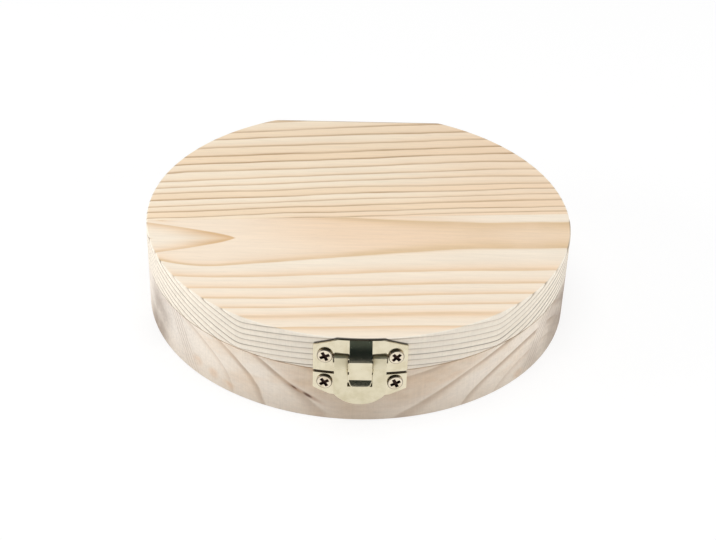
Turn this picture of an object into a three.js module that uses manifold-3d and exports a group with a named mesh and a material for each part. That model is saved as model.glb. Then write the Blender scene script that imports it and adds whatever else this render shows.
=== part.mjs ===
// Baby tooth box: a round pine box in two solid halves, with twenty tooth pockets and a keepsake well
// milled in the base, two butt hinges on a flat at the back and a snap clasp on the front.
// Millimetres, +Z up. The origin is on the underside, below the middle of the round outline.
// The clasp faces -Y and the hinge flat faces +Y. "Out" is the distance out from the wood, and
// "rise" is the height above the middle of the parting line between lid and base.
import * as THREE from "three";
import { mergeVertices } from "three/addons/utils/BufferGeometryUtils.js";
import Module from "manifold-3d";

const wasm = await Module();
wasm.setup();

// Wooden halves
const boxRadius = 65;
const flatWidth = 55.4; // the flat across the back that carries the hinges, measured to its sharp corners
const flatCorner = 4; // radius where the flat meets the round
const baseHeight = 17;
const lidHeight = 11.2;
const partingGap = 0.3;
const rimBreak = 0.4; // sanded chamfer on the lid's top rim and the base's bottom rim

// Hollows in the base
const pocketRadius = 5;
const pocketsPerArch = 10;
const archGap = THREE.MathUtils.degToRad(31.5); // between the end pockets of the two arches
const rimWidth = 15; // wood left outside the ring of pockets
const pocketFloor = 8;
const wellRadius = 28;
const wellFloor = 6;

// Sheet metal and its fit
const seatGap = 0.2; // between the wood and a fitting screwed on it
const screwGap = 0.3; // round a screw, in its hole and under its head
const turningGap = 0.1; // round a hinge pin
const sideGap = 0.35; // between neighbouring knuckles
const swingGap = 0.3; // between the flap and what it hangs over

// Clasp plates
const claspWidth = 26;
const claspSheet = 0.6;
const plateTopMargin = 0.1; // from the lid's top face down to the plate
const plateSetback = 0.3; // from the parting edge of the wood to each plate
const lidPlateShoulder = 2.4; // drop from the plate's top edge to its side corners
const lidPlateTopWidth = 12.4;
const basePlateHeight = 7.1;
const basePlateShoulder = 1.9;
const basePlateBottomWidth = 16.4;
const catchWidth = 5;
const catchHeight = 1;
const catchRise = 0.15;

// Clasp bill, the sprung tongue that comes down from the lid plate
const billWidth = 6.2;
const billOut = 4.1;
const billCrease = 1.2; // above the pin
const billReach = 1.7; // tip below the parting line
const lipDrop = 2.1;
const lipFlare = 1;
const archLean = new THREE.Vector2(2.2, 1.8); // direction of the arch where it leaves the plate

// Clasp flap, whose arms reach through slots in the lid plate to a pin in a groove in the lid
const claspPinRadius = 0.6;
const claspPinDrop = 6.2; // from the plate's top edge
const flapSideGap = 0.2; // between the flap and the screw heads on either side
const windowMargin = 2.1; // window below the tip of the bill
const flapTab = 6.25; // thumb tab below the window
const flapTabRound = 3.7; // height of the tab's round end

// Clasp screws
const claspScrewInset = 3.4; // from the plates' side edges
const lidScrewDrop = 5.4; // from the lid plate's top edge
const baseScrewDrop = 2.6; // from the base plate's top edge
const claspScrew = {
  head: 2.2,
  rim: 0.3,
  dome: 0.9,
  shank: 1,
  length: 7,
  slot: 0.9,
  slotLength: 3,
  slotDepth: 0.6,
};

// Back hinges
const hingeWidth = 16;
const hingeInset = 2.5; // from the end of the flat
const leafSheet = 0.8;
const leafMargin = 2; // from the lid's top face down to the leaf
const hingePinRadius = 0.8;
const middleKnuckle = 6;
const leafScrewMargin = 3.5; // from the leaf's ends
const leafScrewInset = 3.2; // from the leaf's free edge
const hingeScrew = {
  head: 1.7,
  rim: 0.2,
  dome: 0.7,
  shank: 0.8,
  length: 7,
  slot: 0.5,
  slotLength: 2,
  slotDepth: 0.4,
};

// Facets
const outlineSegments = 96;
const cornerSegments = 6;
const pocketSegments = 24;
const wellSegments = 48;
const plateSegments = 180;
const knuckleSegments = 8;
const screwSegments = 16;
const domeSegments = 2;

// Places that follow from the sizes
const flatDistance = Math.sqrt(boxRadius ** 2 - (flatWidth / 2) ** 2);
const partingHeight = baseHeight + partingGap / 2;
const plateFace = seatGap + claspSheet;
const leafFace = seatGap + leafSheet;
const plateTop = partingGap / 2 + lidHeight - plateTopMargin;
const claspPinRise = plateTop - claspPinDrop;
const claspKnuckleBore = claspPinRadius + turningGap;
const claspKnuckleRadius = claspKnuckleBore + claspSheet;
const flapBack = plateFace + swingGap;
const flapFront = flapBack + claspSheet;
const claspPinOut = flapFront - claspKnuckleRadius;
const rollSpace = claspKnuckleRadius + swingGap; // radius of the groove that the rolled arms turn in
const claspScrewX = claspWidth / 2 - claspScrewInset;
const claspScrewTurn = Math.asin(claspScrewX / boxRadius);
const flapWidth = 2 * (claspScrewX - claspScrew.head - flapSideGap);
const windowHalf = billWidth / 2 + sideGap;
const slotHalf = flapWidth / 2 + sideGap;
const windowBottom = -billReach - windowMargin;
const flapBottom = windowBottom - flapTab;
const lidScrewRise = plateTop - lidScrewDrop;
const lidPlateBottom = partingGap / 2 + plateSetback;
const basePlateTop = -partingGap / 2 - plateSetback;
const baseScrewRise = basePlateTop - baseScrewDrop;
const hingeMiddle = flatWidth / 2 - hingeInset - hingeWidth / 2;
const hingeKnuckleBore = hingePinRadius + turningGap;
const hingeKnuckleRadius = hingeKnuckleBore + leafSheet;
const hingePinOut = seatGap + hingeKnuckleRadius;
const leafTop = partingGap / 2 + lidHeight - leafMargin;
const leafScrewX = hingeWidth / 2 - leafScrewMargin;
const leafScrewRise = leafTop - leafScrewInset;

const pine = new THREE.MeshStandardMaterial({ color: 0xe8cda4, roughness: 0.7, metalness: 0 });
const plating = new THREE.MeshStandardMaterial({ color: 0xd8cda6, roughness: 0.25, metalness: 1 });
const steel = new THREE.MeshStandardMaterial({ color: 0xb9b4a4, roughness: 0.35, metalness: 1 });

// A closed geometry as a solid that can be joined and cut.
function solidOf(geometry) {
  const bare = geometry.clone();
  bare.deleteAttribute("normal");
  bare.deleteAttribute("uv");
  const merged = mergeVertices(bare);
  const vertProperties = new Float32Array(merged.attributes.position.array);
  const triVerts = new Uint32Array(merged.index.array);
  return new wasm.Manifold(new wasm.Mesh({ numProp: 3, vertProperties, triVerts }));
}

function meshOf(name, solid, material) {
  const { vertProperties, triVerts } = solid.getMesh();
  const geometry = new THREE.BufferGeometry();
  geometry.setAttribute("position", new THREE.BufferAttribute(vertProperties, 3));
  geometry.setIndex(new THREE.BufferAttribute(triVerts, 1));
  geometry.computeVertexNormals();
  const mesh = new THREE.Mesh(geometry, material);
  mesh.name = name;
  return mesh;
}

const cutAll = (solid, tools) => tools.reduce((left, tool) => left.subtract(tool), solid);

// A cylinder standing on the given height.
function standing(radius, bottom, height, segments, x = 0, y = 0) {
  const geometry = new THREE.CylinderGeometry(radius, radius, height, segments);
  geometry.rotateX(Math.PI / 2).translate(x, y, bottom + height / 2);
  return solidOf(geometry);
}

// A cylinder lying along X, with its axis at the given distance in front of the box axis.
function lying(radius, length, front, rise, segments = 2 * knuckleSegments) {
  const geometry = new THREE.CylinderGeometry(radius, radius, length, segments);
  geometry.rotateZ(Math.PI / 2).translate(0, -front, rise);
  return solidOf(geometry);
}

// A profile of (out, rise) points extruded along X, in front of a face at the given distance.
const profileToFront = new THREE.Matrix4().makeBasis(
  new THREE.Vector3(0, -1, 0),
  new THREE.Vector3(0, 0, 1),
  new THREE.Vector3(-1, 0, 0),
);
function strip(profile, width, middle, face) {
  const geometry = new THREE.ExtrudeGeometry(profile, {
    depth: width,
    bevelEnabled: false,
    curveSegments: knuckleSegments,
  });
  geometry.applyMatrix4(profileToFront).translate(middle + width / 2, -face, 0);
  return solidOf(geometry);
}

// A front view of (x, rise) points extruded from one distance out of a face to another.
function panel(outline, face, outFrom, outTo) {
  const geometry = new THREE.ExtrudeGeometry(outline, {
    depth: outTo - outFrom,
    bevelEnabled: false,
    curveSegments: knuckleSegments,
  });
  geometry.rotateX(Math.PI / 2).translate(0, -(face + outFrom), 0);
  return solidOf(geometry);
}

const polygon = (points) => new THREE.Shape(points.map(([x, y]) => new THREE.Vector2(x, y)));

const rectangle = (left, bottom, right, top) =>
  polygon([
    [left, bottom],
    [right, bottom],
    [right, top],
    [left, top],
  ]);

// A rolled knuckle: a ring round a pin at (out, rise).
function ring(out, rise, bore, radius) {
  const shape = new THREE.Shape().absarc(out, rise, radius, 0, 2 * Math.PI);
  shape.holes.push(new THREE.Path().absarc(out, rise, bore, 0, 2 * Math.PI, true));
  return shape;
}

// The round outline with its flat back and the rounded corners between them.
function boxOutline() {
  const cornerY = flatDistance - flatCorner;
  const cornerX = Math.sqrt((boxRadius - flatCorner) ** 2 - cornerY ** 2);
  const turn = Math.atan2(cornerY, cornerX);
  const arc = (x, y, radius, from, to, segments) =>
    new THREE.EllipseCurve(x, y, radius, radius, from, to).getPoints(segments).slice(1);
  return new THREE.Shape([
    ...arc(0, 0, boxRadius, Math.PI - turn, 2 * Math.PI + turn, outlineSegments),
    ...arc(cornerX, cornerY, flatCorner, turn, Math.PI / 2, cornerSegments),
    new THREE.Vector2(-cornerX, flatDistance),
    ...arc(-cornerX, cornerY, flatCorner, Math.PI / 2, Math.PI - turn, cornerSegments),
  ]);
}

// A block of that outline from one height to another. Both its rims are chamfered, and the one on the
// parting side is then cut away, which leaves that edge crisp.
function roundBlock(from, to, partingSide) {
  const geometry = new THREE.ExtrudeGeometry(boxOutline(), {
    depth: to - from - rimBreak,
    bevelThickness: rimBreak,
    bevelSize: rimBreak,
    bevelOffset: -rimBreak,
    bevelSegments: 1,
  });
  const start = partingSide > 0 ? from + rimBreak : from;
  const block = solidOf(geometry.translate(0, 0, start));
  return block.intersect(standing(2 * boxRadius, from, to - from, wellSegments));
}

// A cross-head screw along +Y, with the seat of its domed head at y = 0.
function screwSolid({ head, rim, dome, shank, length, slot, slotLength, slotDepth }) {
  const profile = new THREE.Path()
    .moveTo(0, -length)
    .lineTo(shank, shank - length)
    .lineTo(shank, 0)
    .lineTo(head, 0)
    .absellipse(0, rim, head, dome - rim, 0, Math.PI / 2);
  const body = solidOf(new THREE.LatheGeometry(profile.getPoints(domeSegments), screwSegments));
  const slots = [
    [slot, slotLength],
    [slotLength, slot],
  ].map(([x, z]) => {
    const bar = new THREE.BoxGeometry(x, 2 * slotDepth, z);
    return solidOf(bar.translate(0, dome, 0));
  });
  return cutAll(body, slots);
}

// A screw's hole through a fitting whose face is at the given distance and on into the wood, turned
// round the box axis. It ends one gap past the screw's tip.
function screwHole({ shank, length }, face, x, turn, rise) {
  const radius = shank + screwGap;
  const reach = length + 2 * screwGap;
  const geometry = new THREE.CylinderGeometry(radius, radius, reach, screwSegments);
  geometry.translate(x, reach / 2 - face - 2 * screwGap, 0);
  return solidOf(geometry.rotateZ(turn).translate(0, 0, rise));
}

function placeScrew(name, size, face, x, turn, rise) {
  const mesh = meshOf(name, screwSolid(size), steel);
  mesh.rotation.z = Math.PI;
  mesh.position.set(x, -face - screwGap, rise);
  const turned = new THREE.Group().add(mesh);
  turned.rotation.z = turn;
  return turned;
}

// Where the screws go: the clasp's four turn round the box axis, the hinges' eight stand on the flat.
const sides = [
  { side: "left", sign: -1 },
  { side: "right", sign: 1 },
];
const halves = [
  { half: "lid", sign: 1, claspRise: lidScrewRise },
  { half: "base", sign: -1, claspRise: baseScrewRise },
];
const leafPlaces = [
  { place: "outer", sign: 1 },
  { place: "inner", sign: -1 },
];

const claspHoles = (rise) =>
  sides.map((at) => screwHole(claspScrew, boxRadius + plateFace, 0, at.sign * claspScrewTurn, rise));

// Screw holes in one wooden half, in the frame of the parting line.
function woodHoles({ sign, claspRise }) {
  const holes = claspHoles(claspRise);
  for (const at of sides)
    for (const spot of leafPlaces) {
      const x = at.sign * (hingeMiddle + spot.sign * leafScrewX);
      holes.push(screwHole(hingeScrew, flatDistance + leafFace, -x, Math.PI, sign * leafScrewRise));
    }
  return holes;
}

function baseBlock() {
  const pitch = (Math.PI - archGap) / (pocketsPerArch - 1);
  const ringRadius = boxRadius - rimWidth - pocketRadius;
  const hollow = (radius, floor, segments, x, y) =>
    standing(radius, floor, baseHeight - floor + partingGap, segments, x, y);
  const hollows = [hollow(wellRadius, wellFloor, wellSegments, 0, 0)];
  for (const archMiddle of [-Math.PI / 2, Math.PI / 2])
    for (let i = 0; i < pocketsPerArch; i++) {
      const angle = archMiddle + (i - (pocketsPerArch - 1) / 2) * pitch;
      const x = ringRadius * Math.cos(angle);
      const y = ringRadius * Math.sin(angle);
      hollows.push(hollow(pocketRadius, pocketFloor, pocketSegments, x, y));
    }
  const holes = woodHoles(halves[1]).map((hole) => hole.translate(0, 0, partingHeight));
  return meshOf("base_block", cutAll(roundBlock(0, baseHeight, 1), [...hollows, ...holes]), pine);
}

function lidBlock() {
  const bottom = partingGap / 2;
  const block = roundBlock(bottom, bottom + lidHeight, -1);
  const groove = lying(rollSpace, 2 * slotHalf, boxRadius + claspPinOut, claspPinRise);
  const mesh = meshOf("lid_block", cutAll(block, [groove, ...woodHoles(halves[0])]), pine);
  mesh.position.z = partingHeight;
  return mesh;
}

// A clasp plate: a front outline pressed to the round of the box, with its two screw holes.
function claspPlate(outline, rise) {
  const inner = boxRadius + seatGap;
  const outer = boxRadius + plateFace;
  const wall = [
    [inner, -boxRadius],
    [outer, -boxRadius],
    [outer, boxRadius],
    [inner, boxRadius],
    [inner, -boxRadius],
  ].map(([x, y]) => new THREE.Vector2(x, y));
  const shell = solidOf(new THREE.LatheGeometry(wall, plateSegments).rotateX(Math.PI / 2));
  return cutAll(panel(outline, boxRadius / 2, 0, boxRadius).intersect(shell), claspHoles(rise));
}

// The bill's side view: an arch from the plate's top edge to a crease, a straight front and a flared lip.
function billProfile() {
  const crease = claspPinRise + billCrease;
  const lipTop = lipDrop - billReach;
  const root = new THREE.Vector2(plateFace, plateTop);
  const outerBend = root.clone().add(new THREE.Vector2(archLean.x, -archLean.y));
  const innerRoot = root.clone().sub(new THREE.Vector2(claspSheet / 2, claspSheet));
  const innerBend = outerBend.clone().sub(new THREE.Vector2(claspSheet, claspSheet / 2));
  const innerOut = billOut - claspSheet;
  return new THREE.Shape()
    .moveTo(root.x, root.y)
    .quadraticCurveTo(outerBend.x, outerBend.y, billOut, crease)
    .lineTo(billOut, lipTop)
    .lineTo(billOut + lipFlare, -billReach)
    .lineTo(innerOut + lipFlare, -billReach)
    .lineTo(innerOut, lipTop)
    .lineTo(innerOut, crease)
    .quadraticCurveTo(innerBend.x, innerBend.y, innerRoot.x, innerRoot.y);
}

function claspLidPlate() {
  const shoulder = plateTop - lidPlateShoulder;
  const outline = polygon([
    [-claspWidth / 2, lidPlateBottom],
    [claspWidth / 2, lidPlateBottom],
    [claspWidth / 2, shoulder],
    [lidPlateTopWidth / 2, plateTop],
    [-lidPlateTopWidth / 2, plateTop],
    [-claspWidth / 2, shoulder],
  ]);
  const knuckle = ring(claspPinOut, claspPinRise, claspKnuckleBore, claspKnuckleRadius);
  const bore = lying(claspKnuckleBore, claspWidth, boxRadius + claspPinOut, claspPinRise);
  const slots = sides.map(({ sign }) => {
    const [left, right] = [sign * (billWidth / 2), sign * slotHalf].sort((a, b) => a - b);
    const slot = rectangle(left, claspPinRise - rollSpace, right, claspPinRise + rollSpace);
    return panel(slot, boxRadius, -rollSpace, flapBack);
  });
  const solid = cutAll(claspPlate(outline, lidScrewRise), slots)
    .add(strip(billProfile(), billWidth, 0, boxRadius))
    .add(strip(knuckle, billWidth, 0, boxRadius))
    .subtract(bore);
  return meshOf("clasp_lid_plate", solid, plating);
}

function claspBasePlate() {
  const bottom = basePlateTop - basePlateHeight;
  const outline = polygon([
    [claspWidth / 2, basePlateTop],
    [-claspWidth / 2, basePlateTop],
    [-claspWidth / 2, bottom + basePlateShoulder],
    [-basePlateBottomWidth / 2, bottom],
    [basePlateBottomWidth / 2, bottom],
    [claspWidth / 2, bottom + basePlateShoulder],
  ]);
  const noseBottom = windowBottom + swingGap;
  const noseTop = noseBottom + catchHeight;
  const nose = rectangle(plateFace - claspSheet / 2, noseBottom, plateFace + catchRise, noseTop);
  const solid = claspPlate(outline, baseScrewRise).add(strip(nose, catchWidth, 0, boxRadius));
  return meshOf("clasp_base_plate", solid, plating);
}

// The flap: two arms rolled round the pin, with a window for the bill between them and a round thumb tab.
function claspFlap() {
  const half = flapWidth / 2;
  const armWidth = half - windowHalf;
  const tabRadius = (half ** 2 + flapTabRound ** 2) / (2 * flapTabRound);
  const tabTurn = Math.asin(half / tabRadius);
  const outline = new THREE.Shape()
    .absarc(0, flapBottom + tabRadius, tabRadius, -Math.PI / 2 - tabTurn, -Math.PI / 2 + tabTurn)
    .lineTo(half, claspPinRise)
    .lineTo(windowHalf, claspPinRise)
    .lineTo(windowHalf, windowBottom)
    .lineTo(-windowHalf, windowBottom)
    .lineTo(-windowHalf, claspPinRise)
    .lineTo(-half, claspPinRise);
  const roll = ring(claspPinOut, claspPinRise, claspKnuckleBore, claspKnuckleRadius);
  const bore = lying(claspKnuckleBore, claspWidth, boxRadius + claspPinOut, claspPinRise);
  const rolls = sides.map((at) => strip(roll, armWidth, at.sign * (windowHalf + armWidth / 2), boxRadius));
  const solid = rolls.reduce((all, one) => all.add(one), panel(outline, boxRadius, flapBack, flapFront));
  return meshOf("clasp_flap", solid.subtract(bore), plating);
}

function clasp() {
  const pin = lying(claspPinRadius, flapWidth, boxRadius + claspPinOut, claspPinRise);
  const group = new THREE.Group();
  group.position.z = partingHeight;
  group.add(claspLidPlate(), claspBasePlate(), claspFlap(), meshOf("clasp_pin", pin, steel));
  for (const { half, claspRise } of halves)
    for (const { side, sign } of sides) {
      const name = `clasp_${half}_screw_${side}`;
      const turn = sign * claspScrewTurn;
      group.add(placeScrew(name, claspScrew, boxRadius + plateFace, 0, turn, claspRise));
    }
  return group;
}

// One hinge leaf: a plate that reaches to its own knuckles and stops clear of the other leaf's.
function hingeLeaf(name, sign, spans) {
  const clear = hingeKnuckleRadius + sideGap;
  const band = (left, right, from, to) => {
    const [low, high] = [sign * from, sign * to].sort((a, b) => a - b);
    return panel(rectangle(left, low, right, high), flatDistance, seatGap, leafFace);
  };
  let solid = band(-hingeWidth / 2, hingeWidth / 2, clear, leafTop);
  for (const [left, right] of spans) {
    const roll = ring(hingePinOut, 0, hingeKnuckleBore, hingeKnuckleRadius);
    solid = solid
      .add(band(left, right, 0, clear + leafSheet))
      .add(strip(roll, right - left, (left + right) / 2, flatDistance));
  }
  const bore = lying(hingeKnuckleBore, 2 * hingeWidth, flatDistance + hingePinOut, 0);
  const holes = leafPlaces.map((spot) => {
    const x = spot.sign * leafScrewX;
    return screwHole(hingeScrew, flatDistance + leafFace, x, 0, sign * leafScrewRise);
  });
  return meshOf(name, cutAll(solid, [bore, ...holes]), plating);
}

function hinge({ side, sign }) {
  const end = hingeWidth / 2;
  const gapEdge = middleKnuckle / 2 + sideGap;
  const spans = {
    lid: [[-middleKnuckle / 2, middleKnuckle / 2]],
    base: [
      [-end, -gapEdge],
      [gapEdge, end],
    ],
  };
  const group = new THREE.Group();
  const pin = lying(hingePinRadius, hingeWidth, flatDistance + hingePinOut, 0);
  group.add(meshOf(`${side}_hinge_pin`, pin, steel));
  for (const half of halves) {
    group.add(hingeLeaf(`${side}_hinge_${half.half}_leaf`, half.sign, spans[half.half]));
    for (const spot of leafPlaces) {
      const name = `${side}_hinge_${half.half}_screw_${spot.place}`;
      const x = -sign * spot.sign * leafScrewX;
      group.add(placeScrew(name, hingeScrew, flatDistance + leafFace, x, 0, half.sign * leafScrewRise));
    }
  }
  group.position.set(sign * hingeMiddle, 0, partingHeight);
  group.rotation.z = Math.PI;
  return group;
}

const box = new THREE.Group();
box.add(baseBlock(), lidBlock(), clasp(), ...sides.map(hinge));

export default box;
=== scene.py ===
import math
from types import SimpleNamespace

import bmesh
import bpy
from mathutils import Matrix, Vector


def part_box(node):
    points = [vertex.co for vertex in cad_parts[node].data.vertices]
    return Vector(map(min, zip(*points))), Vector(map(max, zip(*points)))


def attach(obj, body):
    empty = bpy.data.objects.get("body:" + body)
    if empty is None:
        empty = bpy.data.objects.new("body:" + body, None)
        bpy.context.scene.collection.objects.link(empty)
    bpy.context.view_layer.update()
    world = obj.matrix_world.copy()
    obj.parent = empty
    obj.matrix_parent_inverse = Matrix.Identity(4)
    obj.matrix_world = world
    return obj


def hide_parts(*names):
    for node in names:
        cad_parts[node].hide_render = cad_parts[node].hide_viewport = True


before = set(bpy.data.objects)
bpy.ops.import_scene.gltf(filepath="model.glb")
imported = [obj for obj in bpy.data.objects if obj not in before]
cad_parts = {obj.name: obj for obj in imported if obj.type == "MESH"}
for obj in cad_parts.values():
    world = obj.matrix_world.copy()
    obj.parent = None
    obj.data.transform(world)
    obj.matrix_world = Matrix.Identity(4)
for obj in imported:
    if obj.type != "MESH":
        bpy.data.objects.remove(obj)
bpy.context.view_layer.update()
mm = 0.001

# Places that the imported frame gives
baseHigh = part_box("base_block")[1]
lidLow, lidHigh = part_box("lid_block")
boxRadius = baseHigh.x
flatBack = baseHigh.y
parting = (baseHigh.z + lidLow.z) / 2
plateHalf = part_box("clasp_base_plate")[1].x
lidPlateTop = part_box("clasp_lid_plate")[1].z


def middleOf(node):
    low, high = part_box(node)
    return (low + high) / 2


# Modelling helpers, all on the active object
def startClean():
    if bpy.context.object and bpy.context.object.mode != "OBJECT":
        bpy.ops.object.mode_set(mode="OBJECT")
    bpy.ops.object.select_all(action="DESELECT")


def activate(piece):
    startClean()
    piece.select_set(True)
    bpy.context.view_layer.objects.active = piece


def nameIt(name):
    piece = bpy.context.object
    piece.name = name
    piece.data.name = name
    bpy.ops.object.transform_apply(location=True, rotation=True, scale=True)
    return piece


alongX = (0, math.pi / 2, 0)
alongY = (math.pi / 2, 0, 0)


def cylinderAt(name, steps, radius, length, middle, turn=(0, 0, 0), ends="NGON"):
    startClean()
    bpy.ops.mesh.primitive_cylinder_add(vertices=steps, radius=radius, depth=length, end_fill_type=ends,
                                        rotation=turn, location=middle)
    return nameIt(name)


def editIt(piece):
    activate(piece)
    bpy.ops.object.mode_set(mode="EDIT")
    bpy.ops.mesh.select_mode(type="VERT")
    selectAll()


def leaveEdit():
    bpy.ops.object.mode_set(mode="OBJECT")


def selectAll():
    bpy.ops.mesh.select_all(action="SELECT")


# Selects the vertices or edges that pass a test
def pick(kind, test):
    bpy.ops.mesh.select_mode(type=kind)
    bpy.ops.mesh.select_all(action="DESELECT")
    mesh = bmesh.from_edit_mesh(bpy.context.object.data)
    for item in mesh.verts if kind == "VERT" else mesh.edges:
        if test(item):
            item.select_set(True)
    mesh.select_flush_mode()
    bmesh.update_edit_mesh(bpy.context.object.data)


def isAt(value, wanted, reach=0.02 * mm):
    return abs(value - wanted) < reach


def edgeTest(test):
    return lambda edge: all(test(corner.co) for corner in edge.verts)


def extrudeBy(x, y, z):
    bpy.ops.mesh.extrude_region_move(TRANSFORM_OT_translate={"value": (x, y, z)})


def bevelPicked(width, steps, kind="EDGES"):
    bpy.ops.mesh.bevel(offset=width, segments=steps, affect=kind, clamp_overlap=False)


def scoreAt(point, normal, clear=False):
    selectAll()
    bpy.ops.mesh.bisect(plane_co=point, plane_no=normal, clear_outer=clear, threshold=0.0001 * mm)


def cutAway(point, normal):
    scoreAt(point, normal, clear=True)


def closeUp():
    selectAll()
    bpy.ops.mesh.remove_doubles(threshold=0.001 * mm)
    bpy.ops.mesh.normals_make_consistent(inside=False)


def useModifier(piece, kind, **settings):
    activate(piece)
    modifier = piece.modifiers.new(kind.title(), kind)
    for setting, value in settings.items():
        setattr(modifier, setting, value)
    bpy.ops.object.modifier_apply(modifier=modifier.name)


def combine(piece, other, operation):
    useModifier(piece, "BOOLEAN", operation=operation, object=other, solver="EXACT")
    bpy.data.objects.remove(other)


def cutOut(piece, cutter):
    combine(piece, cutter, "DIFFERENCE")


def roundEdges(piece, width, steps=2, angle=40):
    useModifier(piece, "BEVEL", width=width, segments=steps, limit_method="ANGLE",
                angle_limit=math.radians(angle), use_clamp_overlap=True, harden_normals=False)


def smoothOff(piece, angle=32):
    activate(piece)
    bpy.ops.object.shade_smooth_by_angle(angle=math.radians(angle))


# Puts a finished piece in the frame
def fit(piece, body, node, material):
    piece.data.materials.clear()
    piece.data.materials.append(material)
    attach(piece, body)
    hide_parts(node)


# One vertex pulled along a path in the XZ plane
def drawPath(name, path):
    startClean()
    bpy.ops.mesh.primitive_plane_add(size=mm)
    piece = nameIt(name)
    editIt(piece)
    bpy.ops.mesh.merge(type="CENTER")
    bpy.ops.transform.translate(value=(path[0][0], 0, path[0][1]))
    for here, there in zip(path, path[1:]):
        extrudeBy(there[0] - here[0], 0, there[1] - here[1])
    return piece


# A closed path, filled and pulled along Y
def drawSolid(name, path, length):
    piece = drawPath(name, path)
    selectAll()
    bpy.ops.mesh.edge_face_add()
    extrudeBy(0, length, 0)
    closeUp()
    return piece


# A path of (radius, height) turned round Z
def turnPath(name, path, steps):
    piece = drawPath(name, path)
    selectAll()
    bpy.ops.mesh.spin(steps=steps, angle=2 * math.pi, center=(0, 0, 0), axis=(0, 0, 1))
    closeUp()
    leaveEdit()
    return piece


# Points of an arc round (x, z), from one angle to another, in degrees
def arc(x, z, radius, start, stop, steps):
    angles = [math.radians(start + (stop - start) * i / steps) for i in range(steps + 1)]
    return [(x + radius * math.cos(a), z + radius * math.sin(a)) for a in angles]


def moveIt(piece, matrix):
    activate(piece)
    piece.matrix_world = matrix
    bpy.ops.object.transform_apply(location=True, rotation=True, scale=True)


def copyOf(piece, name):
    activate(piece)
    bpy.ops.object.duplicate()
    twin = bpy.context.object
    twin.name = name
    twin.data.name = name
    return twin


# Shader maths: a socket that can be added, multiplied and so on
class Wire:
    def __init__(self, tree, socket=None):
        self.tree = tree
        self.socket = socket

    def node(self, kind, settings=None, inputs=None, out=0):
        made = self.tree.nodes.new("ShaderNode" + kind)
        for setting, value in (settings or {}).items():
            setattr(made, setting, value)
        for key, value in (inputs or {}).items():
            if isinstance(value, Wire):
                self.tree.links.new(value.socket, made.inputs[key])
            else:
                made.inputs[key].default_value = value
        return Wire(self.tree, made.outputs[out]) if len(made.outputs) else made

    def math(self, operation, *values):
        return self.node("Math", {"operation": operation}, dict(enumerate(values)))

    def do(self, operation, *others):
        return self.math(operation, self, *others)

    def __add__(self, other):
        return self.do("ADD", other)

    def __sub__(self, other):
        return self.do("SUBTRACT", other)

    def __mul__(self, other):
        return self.do("MULTIPLY", other)

    def __truediv__(self, other):
        return self.do("DIVIDE", other)

    def __pow__(self, other):
        return self.do("POWER", other)

    def __rsub__(self, other):
        return self.math("SUBTRACT", other, self)

    def __rtruediv__(self, other):
        return self.math("DIVIDE", other, self)

    __radd__ = __add__
    __rmul__ = __mul__

    def over(self, low, high):
        # 0 below low, 1 above high, smooth between
        return self.node("MapRange", {"interpolation_type": "SMOOTHSTEP"},
                         {"Value": self, "From Min": low, "From Max": high})

    def noise(self, detail=2.0, rough=0.5, seed=0.0):
        # this wire is the place in noise cells
        return self.node("TexNoise", {"noise_dimensions": "4D"},
                         {"Vector": self, "W": seed, "Scale": 1.0, "Detail": detail, "Roughness": rough})


def vectorOf(x, y, z):
    return x.node("CombineXYZ", None, {0: x, 1: y, 2: z})


# Noise in cells for each millimetre, along and across the grain
def grainNoise(x, y, z, along, across, **settings):
    return vectorOf(x * along, y * across, z * across).noise(**settings)


# Noise in patches, with their own number of cells upwards
def patchNoise(x, y, z, level, up, **settings):
    return vectorOf(x * level, y * level, z * up).noise(**settings)


# Place in the piece, one wire for each axis
def axesOf(wire):
    place = wire.node("TexCoord", out=3)
    split = place.node("SeparateXYZ", None, {0: place})
    return [Wire(split.tree, socket) for socket in split.socket.node.outputs]


def newMaterial(name):
    material = bpy.data.materials.new(name)
    material.use_nodes = True
    tree = material.node_tree
    tree.nodes.clear()
    return material, Wire(tree)


def surface(wire, sockets):
    shader = wire.node("BsdfPrincipled", None, sockets)
    wire.node("OutputMaterial", None, {"Surface": shader})


def srgb(red, green, blue):
    def linear(value):
        value = value / 255
        return value / 12.92 if value <= 0.04045 else ((value + 0.055) / 1.055) ** 2.4
    return (linear(red), linear(green), linear(blue), 1)


def toned(**tones):
    return SimpleNamespace(**{name: srgb(*tone) for name, tone in tones.items()})


# Pine: growth rings are worked out in three dimensions, in millimetres, so every cut face agrees
# In these tones rim paints shade along the flat's top edge, and the near-black tone paints the shadow round
# the clasp
lidTones = toned(
    early=(251, 238, 219), peach=(250, 231, 208), tan=(244, 213, 179), line=(227, 197, 156),
    backEarly=(253, 239, 217), backPeach=(249, 225, 194), backTan=(238, 210, 175),
    backLine=(182, 147, 108), sideEarly=(250, 241, 226), sideTan=(238, 224, 205),
    sideLine=(122, 104, 85), rim=(150, 126, 100), seam=(34, 30, 26), blush=(249, 221, 191),
    tip=(222, 184, 138),
)
# In these tones low paints shade towards the bottom, the smudge tone is dark end grain with painted shade on
# it, and the near-black tone paints the shadow round the clasp
baseTones = toned(
    early=(244, 231, 213), tan=(231, 211, 187), line=(186, 157, 129), sideEarly=(243, 232, 218),
    sideTan=(234, 218, 200), sideLine=(160, 130, 104), outer=(216, 190, 162),
    low=(214, 199, 182), smudge=(150, 133, 119), warm=(228, 200, 170), ash=(222, 214, 206),
    amber=(222, 180, 138), resin=(168, 124, 92), fleck=(98, 72, 60), seam=(34, 30, 26),
)
ringStart = 20.0  # keeps the rings' numbers above 0
ringLook = SimpleNamespace(
    slowPower=2.4, slowVary=1.4, lineStart=0.76, lineEnd=0.985, edgeSoft=0.06, endWiden=0.2,
    lineLeast=0.45, lineVary=0.45, breakLeast=0.35, breakVary=0.7, quiet=0.55,
)
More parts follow.
